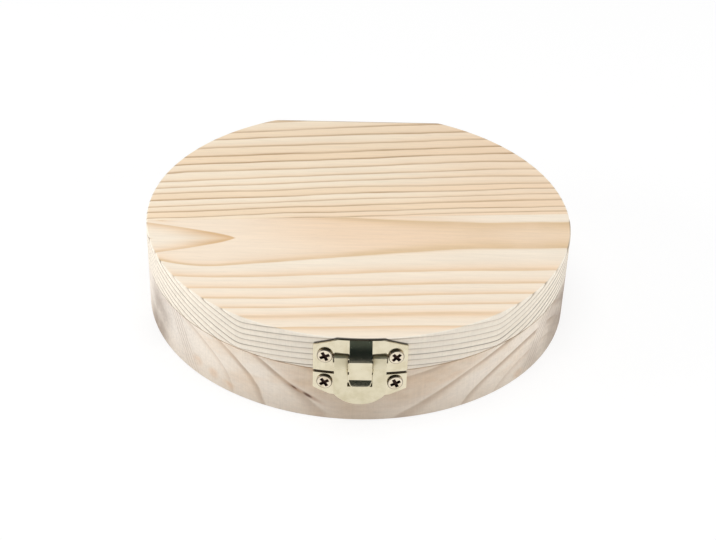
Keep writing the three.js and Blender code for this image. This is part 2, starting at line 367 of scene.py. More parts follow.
coatLook = SimpleNamespace(
    fibre=0.28, dash=0.05, cloud=0.08, saw=0.14, grit=0.04, sideGrit=0.12, endGrit=0.36,
    endFrom=34.0, endTo=58.0, roughness=0.6, fibreRough=0.14, lateSmooth=0.06,
    bump=0.4, bumpDepth=0.07 * mm,
)
# How strongly each tone is laid on; rim, low and the clasp's near-black tone are painted shade, and the
# smudge is partly painted shade
lidMix = SimpleNamespace(blush=0.5, rim=0.8, seam=0.9)
baseMix = SimpleNamespace(
    outer=0.4, outerPatch=0.5, warm=0.45, ash=0.55, closeRings=0.38, low=0.5, smudge=0.6,
    smudgePatch=0.4, resin=0.6, fleck=0.9, seam=0.9,
)

lidGrain = SimpleNamespace(
    jointTurn=0.0645, jointPlace=-2.9, jointHalf=0.06,  # glue line between the lid's two boards
    middle=-13.9, middleTurn=0.05, waver=2.2,  # crown of the front board's rings
    crown=168.0, bandHalf=7.2, bandFrom=38.0, bandEase=10.0, bandRise=0.11,  # its widest ring
    bandTurn=-40.0, bandDrop=0.0147, bandLow=-1.7, bandSoft=0.4,
    bandFade=20.0, bandFadeLeft=14.0, fadeFrom=-54.0, fadeTo=-24.0, fadePower=4.0,
    tongueTip=-37.0, tongueSlope=0.28, tongueSwell=1.6, tongueEase=3.0,  # a pointed ring in it
    tongueSharp=0.22, tongueBlunt=0.3, tongueSteep=0.6, tongueJoin=0.2,
    ring=1.88, narrowFrom=8.0, narrowing=0.05,
    fold=39.8, foldBack=1.75, foldSoft=2.0,  # the layers turn up again at the front
    backTurn=0.092, backFan=0.0004, backBow=0.00022, backWave=2.2, backWaver=1.9,  # back board
    backSlope=0.75, backFirst=-0.6, backCount=22.2, backChirp=0.0136, backStart=60.0,
    bulge=0.35, bulgePlace=20.0, bulgeWidth=8.0,
    uneven=0.9, unevenCell=0.45, unevenAlong=0.006,
)
baseGrain = SimpleNamespace(
    pithY=-37.9, pithZ=-2.9, pithTurn=0.008, pithDip=-0.09, waverAcross=2.0, waverUp=1.5,
    firstRing=26.5, ring=5.3, heartFrom=12.0, heartTo=19.0,
    endSlope=0.34, endTurn=0.02, endRing=0.95, endBend=0.7,  # close rings near both ends
    endFrom=46.8, endTo=50.3, endBackFrom=-30.0, endBackTo=-20.0,
    streakX=-18.5, streakZ=9.5, streakSlope=-0.51, streakFrom=-21.5, streakTo=-8.0,
)
flecks = ({"x": -18.3, "long": 1.2, "wide": 0.5}, {"x": -14.4, "long": 1.7, "wide": 0.9})
lidBlush = {"place": (6.0, -10.0, 28.5), "size": (54.0, 18.0, 30.0), "depth": 0.8}
tongueShade = {"place": (-43.0, -16.1, 28.5), "size": (20.0, 8.0, 5.0), "depth": 1.0}
# Dark patches of end grain at both ends of the base, with painted shade on them
smudges = (
    {"place": (-58.5, -27.0, 11.0), "size": (9.0, 13.0, 9.0), "depth": 0.6},
    {"place": (-60.0, -25.0, 1.0), "size": (9.0, 15.0, 11.0), "depth": 0.84},
    {"place": (64.0, -8.0, 6.0), "size": (22.0, 50.0, 38.0), "depth": 0.9},
    {"place": (53.0, -39.0, 4.0), "size": (12.0, 14.0, 10.0), "depth": 0.35},
)
plainEnd = {"place": (62.0, -12.0, 9.0), "size": (17.0, 27.0, 34.0), "depth": 1.0}
resinSpots = (
    {"place": (-46.6, -45.3, 5.0), "size": (2.4, 6.0, 2.8), "depth": 0.5},
    {"place": (-41.7, -49.9, 4.0), "size": (2.4, 6.0, 2.6), "depth": 0.5},
    {"place": (-37.4, -53.2, 2.5), "size": (2.8, 6.0, 2.0), "depth": 0.7},
    {"place": (46.9, -45.0, 2.0), "size": (2.4, 6.0, 2.4), "depth": 0.6},
)


# The pale band down the front board narrows to the right
def lidBand(x, folded):
    g = lidGrain
    right = (g.bandFrom - x).do("MAXIMUM", 0.0)
    left = (g.bandTurn - x).do("MAXIMUM", 0.0)
    half = right * right / (right + g.bandEase) * g.bandRise + g.bandHalf
    half = half - left * left * g.bandDrop
    spread = x.over(g.fadeFrom, g.fadeTo) * (g.bandFade - g.bandFadeLeft) + g.bandFadeLeft
    fade = ((half / spread) ** g.fadePower + 1.0) / ((folded / spread) ** g.fadePower + 1.0)
    return ((folded * folded - half * half * fade) / g.crown).do("SMOOTH_MAX", g.bandLow, g.bandSoft)


# A pointed tongue of the next ring lies in the band's left end
def lidTongue(x, folded):
    g = lidGrain
    inside = g.tongueTip - x
    deep = inside.do("MAXIMUM", 0.0)
    wedge = deep * g.tongueSlope + deep / (deep + g.tongueEase) * g.tongueSwell
    edge = folded - (wedge + inside.do("MINIMUM", 0.0) * g.tongueBlunt)
    return edge * g.tongueSharp + edge.do("MAXIMUM", 0.0) * g.tongueSteep - g.ring


# Phase of the rings: whole numbers are the sharp outer edges of the late wood
def lidRings(x, y, z, waver):
    g = lidGrain
    depth = z - lidHigh.z / mm
    across = (y - x * g.middleTurn - g.middle + waver * g.waver).do("ABSOLUTE")
    past = (across - g.fold).do("SMOOTH_MAX", 0.0, g.foldSoft)
    folded = across - past * g.foldBack
    ring = lidBand(x, folded).do("SMOOTH_MIN", lidTongue(x, folded), g.tongueJoin) + depth
    narrow = (ring - g.narrowFrom).do("MAXIMUM", 0.0)
    front = ring / g.ring + narrow * narrow * g.narrowing + ringStart
    along = y - x * g.backTurn - x * y * g.backFan + x * x * g.backBow + waver * g.backWaver
    along = along + grainNoise(x, y, z, 0.03, 0.08, detail=2.0, seed=43.0) * g.backWave
    along = along - depth * g.backSlope - g.backFirst - g.backWave / 2
    stretch = (along * g.backChirp + 1.0).do("MAXIMUM", 0.1)
    bulge = g.bulge / (1 + ((along - g.bulgePlace) / g.bulgeWidth) ** 2.0)
    back = g.backStart - stretch.do("LOGARITHM", math.e) * g.backCount - bulge
    cell = vectorOf(back * g.unevenCell, x * g.unevenAlong, z * 0.0)
    back = back + cell.noise(detail=1.0, seed=41.0) * g.uneven
    board = (y - x * g.jointTurn - g.jointPlace).over(-g.jointHalf, g.jointHalf)
    return front * (1 - board) + back * board, board


def baseRings(x, y, z, waver):
    g = baseGrain
    across = y - x * g.pithTurn - g.pithY + waver * g.waverAcross
    up = z - x * g.pithDip - g.pithZ + waver * g.waverUp
    radius = (across * across + up * up).do("SQRT")
    return (radius - g.firstRing) / g.ring + ringStart, radius


# Close rings cut steeply near both ends of the front: how dark, and where they lie
def closeRings(x, y, z):
    g = baseGrain
    bent = patchNoise(x, y, z, 0.1, 0.25, detail=2.0, seed=29.0) - 0.5
    steep = x.do("ABSOLUTE") - z * g.endSlope - x * g.endTurn + bent * g.endBend
    share = (steep / g.endRing).do("FRACT")
    stripe = share.over(0.35, 0.8) * (1 - share.over(0.85, 1.0))
    inside = steep.over(g.endFrom - 1.0, g.endFrom + 0.5)
    outside = steep.over(g.endTo - 0.5, g.endTo + 1.0)
    return stripe, inside * (1 - outside) * (1 - y.over(g.endBackFrom, g.endBackTo))


# Place in the piece, in millimetres, and a mask for the sanded sides
def woodPlace(wire):
    x, y, z = (axis * (1 / mm) for axis in axesOf(wire))
    curved = ((x * x + y * y).do("SQRT") - (boxRadius / mm - 0.5)).over(0.0, 0.35)
    flat = (y - (flatBack / mm - 0.5)).over(0.0, 0.35)
    return x, y, z, curved.do("MAXIMUM", flat)


def mix(first, second, share):
    return share.node("Mix", {"data_type": "RGBA"}, {0: share, 6: first, 7: second}, out=2)


# Painted shadow where the clasp stands off the wood: in the gap between its plates and along its top edge
gapShadeLook = SimpleNamespace(
    halfFrom=12.5, halfTo=13.2, frontFrom=-60.0, frontTo=-58.0, gapFrom=0.55, gapTo=0.75,
    topHalf=6.2, topSlope=0.353, aboveFrom=0.1, aboveTo=0.4, belowFrom=-1.2, belowTo=-0.9,
)


def claspGapShade(x, y, z):
    c = gapShadeLook
    wide = x.do("ABSOLUTE")
    near = (1 - wide.over(c.halfFrom, c.halfTo)) * (1 - y.over(c.frontFrom, c.frontTo))
    gap = 1 - (z - parting / mm).do("ABSOLUTE").over(c.gapFrom, c.gapTo)
    slope = (wide - c.topHalf).do("MAXIMUM", 0.0) * c.topSlope
    above = z + slope - lidPlateTop / mm
    top = (1 - above.over(c.aboveFrom, c.aboveTo)) * above.over(c.belowFrom, c.belowTo)
    return near * gap.do("MAXIMUM", top)


# Colour and gloss shared by the lid and the base
def pineCoat(wire, x, y, z, side, colour, late, seed):
    c = coatLook
    fibre = grainNoise(x, y, z, 0.045, 0.95, detail=4.0, rough=0.75, seed=seed + 3.0)
    dash = grainNoise(x, y, z, 0.2, 2.4, detail=0.0, seed=seed + 11.0).over(0.7, 0.82)
    cloud = grainNoise(x, y, z, 0.02, 0.11, detail=3.0, seed=seed + 7.0)
    grit = grainNoise(x, y, z, 1.1, 1.1, detail=3.0, rough=0.75, seed=seed + 17.0)
    ends = x.do("ABSOLUTE").over(c.endFrom, c.endTo) * side  # end grain is speckled
    bearing = x.do("ARCTAN2", y) * (boxRadius / mm)
    saw = vectorOf(bearing * 2.2, z * 0.06, z * 0.0).noise(detail=2.0, seed=seed + 13.0) - 0.5
    shade = 1.0 + (fibre - 0.5) * c.fibre - dash * c.dash + (cloud - 0.5) * c.cloud
    shade = shade + saw * side * c.saw
    shade = shade + (grit - 0.5) * (side * c.sideGrit + ends * c.endGrit + c.grit)
    colour = colour.node("VectorMath", {"operation": "SCALE"}, {0: colour, "Scale": shade})
    height = late * 0.35 + fibre * 0.5 + saw * side * 0.6 + grit * side * 0.4
    bump = height.node("Bump", None, {"Strength": c.bump, "Distance": c.bumpDepth, "Height": height})
    rough = c.roughness + fibre * c.fibreRough - late * c.lateSmooth
    surface(wire, {"Base Color": colour, "Roughness": rough, "Normal": bump,
                   "Specular IOR Level": 0.25, "IOR": 1.45})


# How far a ring has darkened: slowly at first, then a thin line that ends sharply
def ringTone(x, y, z, side, phase, extra):
    r = ringLook
    number = phase.do("FLOOR")
    share = phase - number
    vary = number.node("TexWhiteNoise", {"noise_dimensions": "1D"}, {"W": number + extra})
    along = vectorOf(x * 0.035, number * 3.7 + y * 0.01, z * 0.1).noise(detail=3.0, rough=0.6, seed=31.0)
    slow = share ** (vary * r.slowVary + r.slowPower)
    start = r.lineStart - x.over(30.0, 60.0) * side * r.endWiden
    line = share.over(start, r.lineEnd).do("MAXIMUM", 1 - share.over(0.0, r.edgeSoft))
    line = line * (vary * r.lineVary + r.lineLeast)
    line = line * (along.over(0.25, 0.6) * r.breakVary + r.breakLeast)
    # fainter beside the clasp
    quiet = x.over(8.0, 20.0) * (1 - x.over(38.0, 50.0)) * z.over(20.0, 26.0) * side
    line = line * (1 - quiet * r.quiet)
    return slow, line.do("MINIMUM", 1.0), vary


def waverOf(x, y, z, seed):
    slow = grainNoise(x, y, z, 0.022, 0.06, detail=2.0, seed=seed)
    quick = grainNoise(x, y, z, 0.08, 0.3, detail=2.0, seed=seed + 2.0)
    return slow + quick * 0.24 - 0.62


# A soft blot with its darkest part at a place
def blotAt(x, y, z, blot):
    parts = [(axis - middle) / reach for axis, middle, reach in zip((x, y, z), blot["place"], blot["size"])]
    away = (parts[0] * parts[0] + parts[1] * parts[1] + parts[2] * parts[2]).do("SQRT")
    return (1 - away.over(0.2, 1.0)) * blot["depth"]


def lidPineLook():
    material, wire = newMaterial("lid pine")
    x, y, z, side = woodPlace(wire)
    phase, board = lidRings(x, y, z, waverOf(x, y, z, 1.0))
    slow, line, vary = ringTone(x, y, z, side, phase, board * 57.0)
    t = lidTones
    front = mix(t.early, t.peach, vary)
    back = mix(t.backEarly, t.backPeach, vary)
    early = mix(front, back, board)
    blush = blotAt(x, y, z, lidBlush).do("MAXIMUM", board * x.over(0.0, 45.0) * lidMix.blush)
    early = mix(mix(early, t.blush, blush), t.sideEarly, side)
    tan = mix(mix(t.tan, t.backTan, board), t.sideTan, side)
    dark = mix(mix(t.line, t.backLine, board), t.sideLine, side)
    wood = mix(mix(early, tan, slow), dark, line)
    # darker inside the tip of the tongue
    inTongue = 1 - (phase - (ringStart - 1)).over(-0.05, 0.0)
    wood = mix(wood, t.tip, blotAt(x, y, z, tongueShade) * slow * inTongue)
    # painted shade along the top edge of the flat
    edge = (y - (flatBack / mm - 0.8)).over(0.0, 0.4) * (z - (lidHigh.z / mm - 0.9)).over(0.0, 0.4)
    wood = mix(wood, t.rim, edge * lidMix.rim)
    # painted shadow round the clasp, where it stands off the wood
    wood = mix(wood, t.seam, claspGapShade(x, y, z) * side * lidMix.seam)
    pineCoat(wire, x, y, z, side, wood, line, 1.0)
    return material


def basePineLook():
    material, wire = newMaterial("base pine")
    x, y, z, side = woodPlace(wire)
    phase, radius = baseRings(x, y, z, waverOf(x, y, z, 5.0))
    slow, line = ringTone(x, y, z, side, phase, 3.0)[:2]
    t, g, m = baseTones, baseGrain, baseMix
    # no rings show round the pith, nor past it at the ends
    heart = radius.over(g.heartFrom, g.heartTo)
    heart = heart * (1 - blotAt(x.do("ABSOLUTE"), y, z, plainEnd))
    stripe, near = closeRings(x, y, z)
    heart = heart * (1 - near * side)
    early = mix(t.early, t.sideEarly, side)
    tan = mix(t.tan, t.sideTan, side)
    dark = mix(t.line, t.sideLine, side)
    wood = mix(mix(early, tan, slow * heart), dark, line * heart)
    # browner outside the first ring at the front
    patch = patchNoise(x, y, z, 0.06, 0.2, detail=2.0, seed=21.0).over(0.3, 0.7)
    front = (radius - g.firstRing).over(-0.4, 1.6) * (1 - y.over(-63.0, -48.0))
    wood = mix(wood, t.outer, front * (patch * m.outerPatch + m.outer))
    # warm patches between the rings
    warm = patchNoise(x, y, z, 0.05, 0.14, detail=3.0, rough=0.6, seed=27.0).over(0.45, 0.7)
    wood = mix(wood, t.warm, warm * side * heart * m.warm)
    # greyer wood at the left end
    wood = mix(wood, t.ash, side * (1 - x.over(-54.0, -42.0)) * m.ash)
    wood = mix(wood, t.sideLine, stripe * near * side * m.closeRings)
    # amber spots at both ends, dark end grain with painted shade on it, and painted shade towards the bottom
    mottle = patchNoise(x, y, z, 0.15, 0.2, detail=3.0, rough=0.6, seed=25.0).over(0.3, 0.6)
    for spot in resinSpots:
        wood = mix(wood, t.amber, blotAt(x, y, z, spot) * side * mottle)
    # where the end grain is dark, with painted shade on it
    dull = blotAt(x, y, z, smudges[0])
    for blot in smudges[1:]:
        dull = dull.do("MAXIMUM", blotAt(x, y, z, blot))
    # painted shade towards the bottom, near the floor
    wood = mix(wood, t.low, side * (1 - z.over(0.0, 11.0)) * m.low)
    wood = mix(wood, t.smudge, side * dull * (mottle * m.smudgePatch + m.smudge))
    # resin streak on the first ring, with dark flecks
    off = z - (x - g.streakX) * g.streakSlope - g.streakZ
    streak = 1 - off.do("ABSOLUTE").over(0.1, 1.1)
    streak = streak * x.over(g.streakFrom, g.streakFrom + 4.0)
    streak = streak * (1 - x.over(g.streakTo - 6.0, g.streakTo)) * (1 - y.over(-58.0, -54.0))
    wood = mix(wood, t.resin, streak * m.resin)
    for fleck in flecks:
        along = (x - fleck["x"]) / fleck["long"]
        across = off / fleck["wide"]
        spot = 1 - (along * along + across * across).do("SQRT").over(0.3, 1.0)
        wood = mix(wood, t.fleck, spot * streak * m.fleck)
    # painted shadow round the clasp, where it stands off the wood
    wood = mix(wood, t.seam, claspGapShade(x, y, z) * side * m.seam)
    pineCoat(wire, x, y, z, side, wood, line * heart, 5.0)
    return material


# Pale gold plating over pressed sheet
def plating(name, colour, dull, roughness, seed, bendDull=0.0, recessShade=None):
    material, wire = newMaterial(name)
    x, y, z = (axis * (1 / mm) for axis in axesOf(wire))
    cloud = grainNoise(x, y, z, 0.35, 0.35, detail=3.0, seed=seed)
    brush = grainNoise(x, y, z, 0.5, 9.0, detail=2.0, seed=seed + 2.0)
    speck = grainNoise(x, y, z, 2.5, 2.5, detail=1.0, seed=seed + 4.0).over(0.7, 0.8)
    tone = mix(colour, dull, cloud.over(0.35, 0.75))
    rough = cloud * 0.1 + brush * 0.06 + speck * 0.15 + (roughness - 0.08)
    if bendDull:  # the sheet is duller where it was bent
        rough = rough + z.over(18.5, 22.0) * bendDull
    if recessShade:  # painted shade in the crosses of the screws and round the rims of their heads
        shadeMark = wire.node("Attribute", {"attribute_name": "recessShade"}, out=2)
        tone = mix(tone, recessShade, shadeMark)
        rough = rough + shadeMark * 0.3
    height = brush * 0.5 + cloud
    bump = height.node("Bump", None, {"Strength": 0.25, "Distance": 0.01 * mm, "Height": height})
    surface(wire, {"Base Color": tone, "Metallic": 1.0, "Roughness": rough, "Normal": bump})
    return material


lidPine = lidPineLook()
basePine = basePineLook()
claspMetal = plating("pale gold clasp", srgb(228, 219, 193), srgb(216, 205, 176), 0.2, 1.0)
flapMetal = plating("pale gold flap", srgb(222, 213, 186), srgb(208, 198, 168), 0.2, 1.0, bendDull=0.3)
hingeMetal = plating("pale gold hinge", srgb(226, 210, 166), srgb(204, 186, 138), 0.22, 3.0)
# the screws' dark tone is painted shade in their crosses and round their heads
screwMetal = plating("plated screw", srgb(236, 224, 202), srgb(212, 198, 172), 0.2, 6.0,
                     recessShade=srgb(58, 42, 38))
print("materials ready")

# The two wooden halves
boardLook = SimpleNamespace(
    segments=288, flatCorner=4 * mm, cornerSteps=10,
    softRim=0.45 * mm, partingRim=0.12 * mm, rimSteps=3,
)
hollows = SimpleNamespace(
    pocketRadius=5 * mm, pocketFloor=8 * mm, perArch=10, archGap=31.5,
    ringRadius=45 * mm, wellRadius=28 * mm, wellFloor=6 * mm,
    floorRound=0.9 * mm, floorSteps=5, rimRound=0.4 * mm, rimSteps=4,
    pocketSteps=64, wellSteps=160,
)
holes = SimpleNamespace(
    claspInset=3.4 * mm, claspShank=1 * mm, leafShank=0.8 * mm, gap=0.3 * mm, steps=24,
    woodReach=7 * mm, sheetReach=2 * mm,
)
claspTurn = math.asin((plateHalf - holes.claspInset) / boxRadius)


def roundBoard(name, node, topRim, bottomRim):
    low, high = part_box(node)
    corner, steps = boardLook.flatCorner, boardLook.cornerSteps
    cornerY = flatBack - corner
    cornerX = math.sqrt((boxRadius - corner) ** 2 - cornerY ** 2)
    turn = math.degrees(math.atan2(cornerY, cornerX))
    path = arc(0, 0, boxRadius, 180 - turn, 360 + turn, boardLook.segments)
    path += arc(cornerX, cornerY, corner, turn, 90, steps)[1:]
    path += arc(-cornerX, cornerY, corner, 90, 180 - turn, steps)[:-1]
    piece = drawSolid(name, path, low.z - high.z)
    leaveEdit()
    moveIt(piece, Matrix.Translation((0, 0, low.z)) @ Matrix.Rotation(-math.pi / 2, 4, "X"))
    editIt(piece)
    for height, rim in ((high.z, topRim), (low.z, bottomRim)):
        pick("EDGE", edgeTest(lambda place: isAt(place.z, height)))
        bevelPicked(rim, boardLook.rimSteps)
    leaveEdit()
    return piece


def hollowCutter(name, radius, floor, steps):
    soft, rim, top = hollows.floorRound, hollows.rimRound, baseHigh.z
    path = [(0, floor)]
    path += arc(radius - soft, floor + soft, soft, -90, 0, hollows.floorSteps)
    path += arc(radius + rim, top - rim, rim, 180, 90, hollows.rimSteps)
    path += [(radius + rim, top + mm), (0, top + mm)]
    return turnPath(name, path, steps)


def screwHole(shank, reach, face, turn, x, z):
    piece = cylinderAt("screwHole", holes.steps, shank + holes.gap, 2 * reach, (0, -face, 0), alongY)
    moveIt(piece, Matrix.Translation((x, 0, z)) @ Matrix.Rotation(turn, 4, "Z"))
    return piece


sides = {"left": -1, "right": 1}
leafPlaces = ("outer", "inner")


def screwNode(half, side, place=None):
    return f"{side}_hinge_{half}_screw_{place}" if place else f"clasp_{half}_screw_{side}"


def drillBoard(piece, half):
    for side, sign in sides.items():
        z = middleOf(screwNode(half, side)).z
        cutOut(piece, screwHole(holes.claspShank, holes.woodReach, boxRadius, sign * claspTurn, 0, z))
        for place in leafPlaces:
            spot = middleOf(screwNode(half, side, place))
            cutOut(piece, screwHole(holes.leafShank, holes.woodReach, flatBack, math.pi, spot.x, spot.z))


# The flap's pin and what turns on it
pinMiddle = middleOf("clasp_pin")
pinRadius = (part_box("clasp_pin")[1].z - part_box("clasp_pin")[0].z) / 2
roll = SimpleNamespace(
    gap=0.1 * mm, sheet=0.6 * mm, space=0.3 * mm, sideGap=0.35 * mm, turn=220, steps=30,
    boreSteps=48,
)
rollMiddle = pinRadius + roll.gap + roll.sheet / 2
rollSpace = pinRadius + roll.gap + roll.sheet + roll.space
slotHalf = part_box("clasp_flap")[1].x + roll.sideGap

lidBoard = roundBoard("lidBoard", "lid_block", boardLook.softRim, boardLook.partingRim)
drillBoard(lidBoard, "lid")
cutOut(lidBoard, cylinderAt("rollGroove", roll.boreSteps, rollSpace, 2 * slotHalf, pinMiddle, alongX))
smoothOff(lidBoard)
fit(lidBoard, "lid", "lid_block", lidPine)

baseBoard = roundBoard("baseBoard", "base_block", boardLook.partingRim, boardLook.softRim)
well = hollowCutter("well", hollows.wellRadius, hollows.wellFloor, hollows.wellSteps)
cutOut(baseBoard, well)
pocket = hollowCutter("pocket", hollows.pocketRadius, hollows.pocketFloor, hollows.pocketSteps)
pitch = (180 - hollows.archGap) / (hollows.perArch - 1)
for archMiddle in (-90, 90):
    for i in range(hollows.perArch):
        angle = math.radians(archMiddle + (i - (hollows.perArch - 1) / 2) * pitch)
        cutter = copyOf(pocket, "pocketCut")
        spot = Vector((math.cos(angle), math.sin(angle), 0)) * hollows.ringRadius
        moveIt(cutter, Matrix.Translation(spot))
        cutOut(baseBoard, cutter)
bpy.data.objects.remove(pocket)
drillBoard(baseBoard, "base")
smoothOff(baseBoard)
fit(baseBoard, "base", "base_block", basePine)
print("boards ready")

# Clasp plates, pressed to the round of the box
plates = SimpleNamespace(
    sheet=roll.sheet, seat=0.2 * mm, setback=0.3 * mm, segments=900, edge=0.13 * mm,
    lidTopWidth=12.4 * mm, lidShoulder=2.4 * mm,
    baseBottomWidth=16.4 * mm, baseShoulder=1.9 * mm,
    noseWidth=5 * mm, noseHeight=1 * mm, noseOut=0.15 * mm, noseDrop=3.5 * mm,
)
plateFace = boxRadius + plates.seat + plates.sheet
basePlateLow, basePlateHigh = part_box("clasp_base_plate")


def claspSheet(name, bottom, top, narrowZ, narrowHalf, shoulder):
    middle = (0, 0, (top + bottom) / 2)
    piece = cylinderAt(name, plates.segments, plateFace, top - bottom, middle, ends="NOTHING")
    editIt(piece)
    cutAway((0, 0, 0), (0, 1, 0))
    up = 1 if isAt(narrowZ, top) else -1
    for sign in (-1, 1):
        cutAway((sign * plateHalf, 0, 0), (sign, 0, 0))
        slant = Vector((sign * shoulder, 0, up * (plateHalf - narrowHalf))).normalized()
        cutAway((sign * narrowHalf, 0, narrowZ), slant)
    leaveEdit()
    useModifier(piece, "SOLIDIFY", thickness=plates.sheet, offset=-1)
    return piece


def plateHoles(piece, half):
    for side, sign in sides.items():
        z = middleOf(screwNode(half, side)).z
        cutOut(piece, screwHole(holes.claspShank, holes.sheetReach, plateFace, sign * claspTurn, 0, z))


def blockAt(name, low, high):
    startClean()
    bpy.ops.mesh.primitive_cube_add(size=1, location=(Vector(low) + Vector(high)) / 2)
    bpy.context.object.scale = Vector(high) - Vector(low)
    return nameIt(name)


# The bill: an arch from the plate's top edge, a sharp crease, a straight front and a flared lip
billLook = SimpleNamespace(
    width=6.2 * mm, out=4.1 * mm, crease=1.2 * mm, reach=1.7 * mm, lipDrop=2.1 * mm,
    lipFlare=1 * mm, leanOut=2.2 * mm, leanDown=1.8 * mm, archSteps=14,
    corner=1.3 * mm, cornerSteps=6, lipRound=0.5 * mm, lipSteps=4,
    edge=0.12 * mm, smooth=18,
)


def curvePoints(start, bend, stop, steps):
    def at(t):
        return tuple((1 - t) ** 2 * a + 2 * t * (1 - t) * b + t * t * c for a, b, c in zip(start, bend, stop))
    return [at(i / steps) for i in range(steps + 1)]


def billStrip():
    b, sheet = billLook, plates.sheet
    crease = pinMiddle.z + b.crease
    tip = parting - b.reach
    lipTop = tip + b.lipDrop
    root = (plates.seat + sheet, lidPlateTop)
    bend = (root[0] + b.leanOut, root[1] - b.leanDown)
    outer = curvePoints(root, bend, (b.out, crease), b.archSteps)
    outer += [(b.out, lipTop), (b.out + b.lipFlare, tip)]
    innerRoot = (root[0] - sheet / 2, root[1] - sheet)
    innerBend = (bend[0] - sheet, bend[1] - sheet / 2)
    inner = curvePoints(innerRoot, innerBend, (b.out - sheet, crease), b.archSteps)
    inner += [(b.out - sheet, lipTop), (b.out - sheet + b.lipFlare, tip)]
    piece = drawSolid("bill", outer + inner[::-1], b.width)
    # round the two lower corners of the lip
    pick("EDGE", lambda edge: all(isAt(v.co.z, tip) for v in edge.verts)
         and isAt(edge.verts[0].co.y, edge.verts[1].co.y))
    bevelPicked(b.corner, b.cornerSteps)

    # soften the lip's front edge, which mirrors the pale floor
    def isFront(place):
        flare = (lipTop - place.z) / b.lipDrop * b.lipFlare
        return isAt(place.x, b.out + flare) and place.z < lipTop - 0.1 * mm
    pick("EDGE", edgeTest(isFront))
    bevelPicked(b.lipRound, b.lipSteps)
    leaveEdit()
    # the path was drawn with X out of the wood, so it is turned to face the front
    turn = Matrix.Rotation(-math.pi / 2, 4, "Z")
    moveIt(piece, Matrix.Translation((-b.width / 2, -boxRadius, 0)) @ turn)
    editIt(piece)
    closeUp()
    leaveEdit()
    return piece


def pinTube(name, middle, radius, sheet, width, steps):
    startClean()
    bpy.ops.mesh.primitive_circle_add(vertices=steps, radius=radius, rotation=alongX,
                                      location=(-width / 2, middle.y, middle.z))
    piece = nameIt(name)
    editIt(piece)
    extrudeBy(width, 0, 0)
    closeUp()
    leaveEdit()
    useModifier(piece, "SOLIDIFY", thickness=sheet, offset=0)
    return piece


claspLidPlate = claspSheet("claspLidPlate", lidLow.z + plates.setback, lidPlateTop, lidPlateTop,
                           plates.lidTopWidth / 2, plates.lidShoulder)
plateHoles(claspLidPlate, "lid")
for sign in (-1, 1):
    ends = sorted((sign * billLook.width / 2, sign * slotHalf))
    slotLow = (ends[0], -plateFace - roll.space, pinMiddle.z - rollSpace)
    slotHigh = (ends[1], -boxRadius + rollSpace, pinMiddle.z + rollSpace)
    cutOut(claspLidPlate, blockAt("armSlot", slotLow, slotHigh))
combine(claspLidPlate, billStrip(), "UNION")
billTube = pinTube("billTube", pinMiddle, rollMiddle, plates.sheet, billLook.width, roll.boreSteps)
combine(claspLidPlate, billTube, "UNION")
boreRadius, boreLength = pinRadius + roll.gap, 2 * billLook.width
cutOut(claspLidPlate, cylinderAt("pinBore", roll.boreSteps, boreRadius, boreLength, pinMiddle, alongX))
roundEdges(claspLidPlate, billLook.edge)
smoothOff(claspLidPlate, billLook.smooth)
fit(claspLidPlate, "lid", "clasp_lid_plate", claspMetal)

claspBasePlate = claspSheet("claspBasePlate", basePlateLow.z, basePlateHigh.z, basePlateLow.z,
                            plates.baseBottomWidth / 2, plates.baseShoulder)
plateHoles(claspBasePlate, "base")
noseHalf, noseLow = plates.noseWidth / 2, parting - plates.noseDrop
nose = blockAt("catchNose", (-noseHalf, -plateFace - plates.noseOut, noseLow),
               (noseHalf, -plateFace + plates.sheet / 2, noseLow + plates.noseHeight))
combine(claspBasePlate, nose, "UNION")
roundEdges(claspBasePlate, plates.edge)
smoothOff(claspBasePlate)
fit(claspBasePlate, "base", "clasp_base_plate", claspMetal)

# The flap: two arms rolled round the pin, a window for the bill and a round thumb tab
flapLook = SimpleNamespace(
    tabRound=3.7 * mm, tab=6.25 * mm, windowGap=0.35 * mm, edge=0.13 * mm, arcSteps=200,
    bend=0.3 * mm, bendSteps=6,
)


def claspFlap():
    low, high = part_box("clasp_flap")
    half = high.x
    windowHalf = billLook.width / 2 + flapLook.windowGap
    middle = pinMiddle.y - rollMiddle
    tabRadius = (half ** 2 + flapLook.tabRound ** 2) / (2 * flapLook.tabRound)
    startClean()
    bpy.ops.mesh.primitive_circle_add(vertices=flapLook.arcSteps, radius=tabRadius, fill_type="NGON",
                                      rotation=alongY, location=(0, middle, low.z + tabRadius))
    piece = nameIt("claspFlap")
    editIt(piece)
    chord = low.z + flapLook.tabRound
    windowLow = low.z + flapLook.tab
    bend = Vector((0, middle + flapLook.bend, pinMiddle.z + rollMiddle - flapLook.bend))
    cutAway((0, 0, chord), (0, 0, 1))
    for sign in (-1, 1):
        scoreAt((sign * windowHalf, 0, 0), (1, 0, 0))
    pick("EDGE", edgeTest(lambda place: isAt(place.z, chord)))
    extrudeBy(0, 0, windowLow - chord)
    for sign in (-1, 1):
        pick("EDGE", edgeTest(lambda place: isAt(place.z, windowLow)
                              and sign * place.x > windowHalf - 0.01 * mm))
        extrudeBy(0, 0, bend.z - windowLow)
        bpy.ops.mesh.spin(steps=flapLook.bendSteps, angle=math.pi / 2, center=bend, axis=(1, 0, 0))
        extrudeBy(0, pinMiddle.y - bend.y, 0)
        bpy.ops.mesh.spin(steps=roll.steps, angle=math.radians(roll.turn), center=pinMiddle,
                          axis=(1, 0, 0))
    closeUp()
    leaveEdit()
    useModifier(piece, "SOLIDIFY", thickness=plates.sheet, offset=0)
    roundEdges(piece, flapLook.edge)
    smoothOff(piece)
    return piece


fit(claspFlap(), "flap", "clasp_flap", flapMetal)


# Pins with rounded ends
pinLook = SimpleNamespace(steps=40, round=0.35, roundSteps=3, smooth=50)


